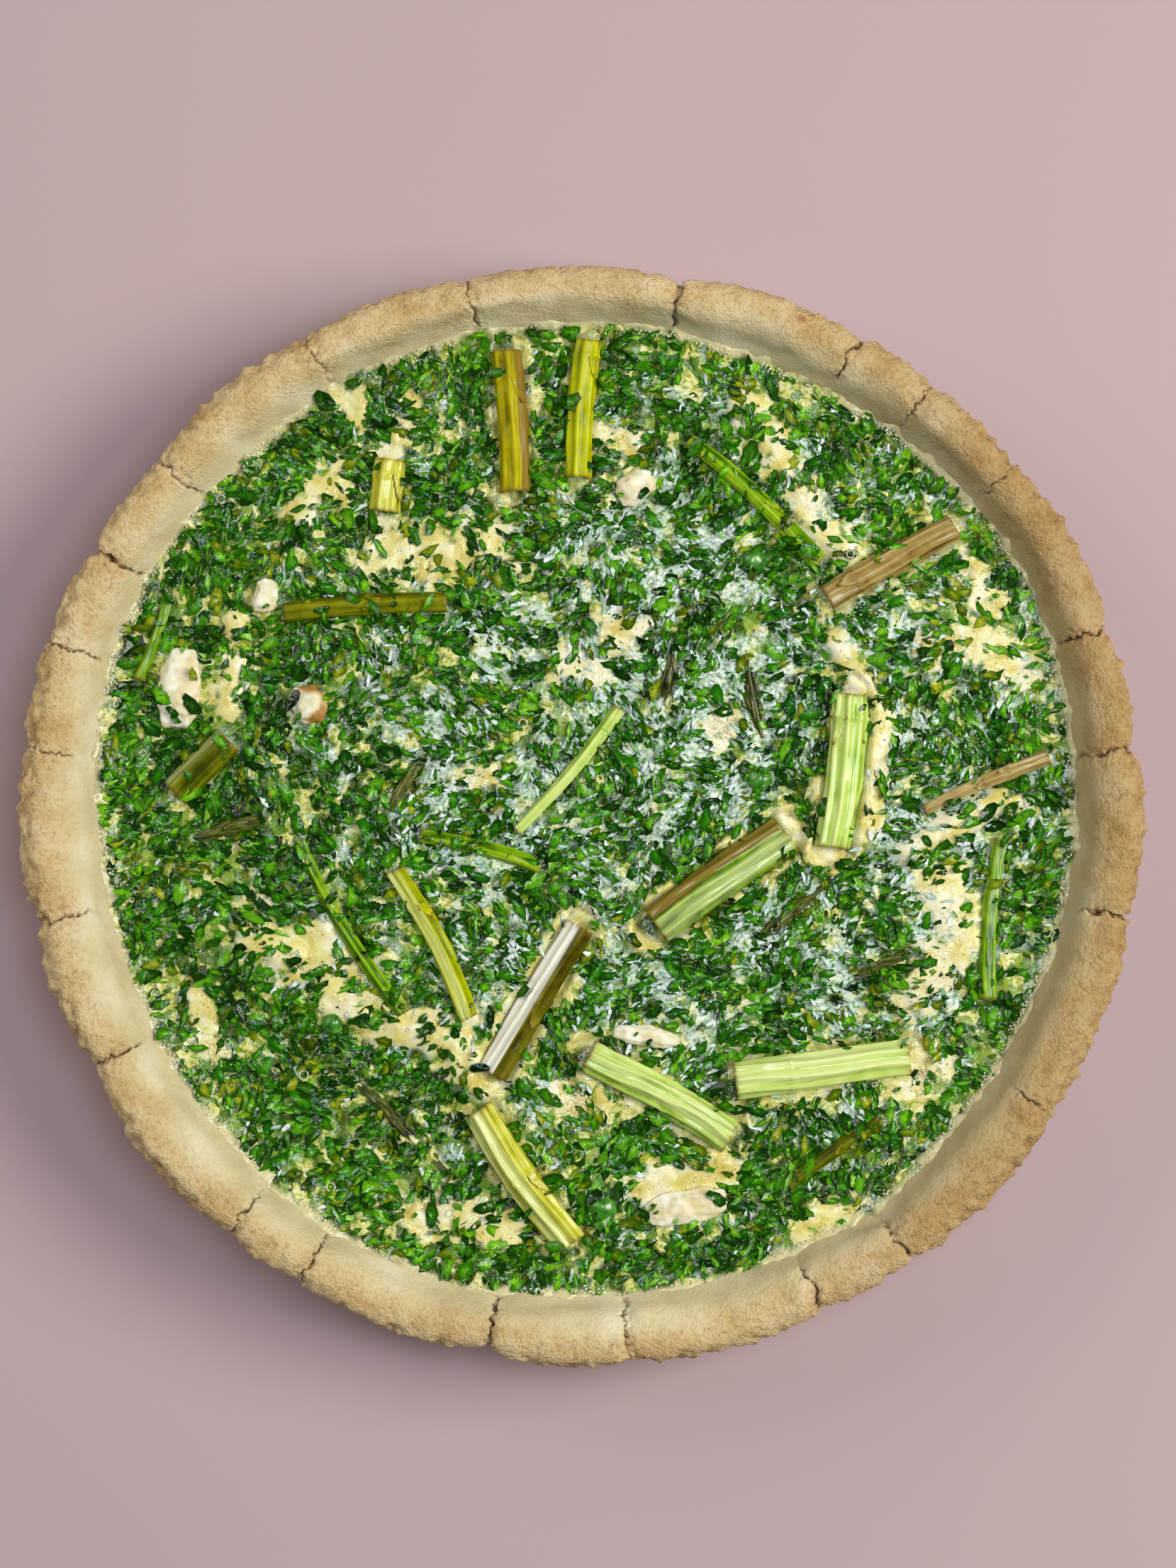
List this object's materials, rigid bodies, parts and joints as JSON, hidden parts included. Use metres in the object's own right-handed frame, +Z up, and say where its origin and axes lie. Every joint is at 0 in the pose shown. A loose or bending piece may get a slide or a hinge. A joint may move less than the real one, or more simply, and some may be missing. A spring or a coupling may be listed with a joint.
{
  "type": "quiche",
  "caption": "Round deep quiche: cracked shortcrust case with a rolled rim, herb custard filling, and asparagus, peas and cheese sunk in its top.",
  "frame": {"origin": "middle of the flat underside, on the surface it stands on", "axes": "+Z up out of the filling, +X to the right and +Y away from the viewer as seen from above"},
  "size_m": [0.2821, 0.275, 0.0413],
  "materials": {
    "pastry": "baked shortcrust pastry, tan and crumbly, dry and matt, paler inside the rim",
    "custard": "set egg custard, pale yellow-green, moist and glossy, with browned spots",
    "asparagus": "baked green asparagus, yellow-green to olive, ribbed lengthwise, oily sheen",
    "asparagus_tip": "browned asparagus tip, dark olive brown with overlapping bud scales",
    "cheese": "soft white cheese, crumbly, browned in places",
    "pea": "green pea, smooth and moist",
    "herb": "chopped parsley and chives, wet, dark to bright green"
  },
  "bodies": {
    "root": {"cheese_bottom": "cheese", "cheese_browned": "cheese", "cheese_left": "cheese", "cheese_left_cube": "cheese", "cheese_lower": "cheese", "cheese_top": "cheese", "crust": "pastry", "filling": "custard", "leaf_left": "herb", "pea_bottom": "pea", "pea_left": "pea", "pea_right": "pea", "pea_upper_right": "pea", "spear_centre_left": "asparagus", "spear_centre_split": "asparagus", "spear_centre_thin": "asparagus", "spear_far_right": "asparagus", "spear_left": "asparagus", "spear_left_long": "asparagus", "spear_left_short": "asparagus", "spear_low_right_thin": "asparagus", "spear_lower_left": "asparagus", "spear_lower_middle": "asparagus", "spear_lower_right": "asparagus", "spear_middle_thick": "asparagus", "spear_right_roasted": "asparagus", "spear_right_thick": "asparagus", "spear_right_thin": "asparagus", "spear_sunk": "asparagus", "spear_top_left": "asparagus", "spear_top_middle": "asparagus", "spear_upper_right": "asparagus", "spear_upper_short": "asparagus", "tip_centre_left": "asparagus_tip", "tip_centre_right": "asparagus_tip", "tip_far_left": "asparagus_tip", "tip_left": "asparagus_tip", "tip_lower_left": "asparagus_tip", "tip_right": "asparagus_tip", "tip_upper_middle": "asparagus_tip", "tip_upper_right": "asparagus_tip"}
  },
  "joints": []
}
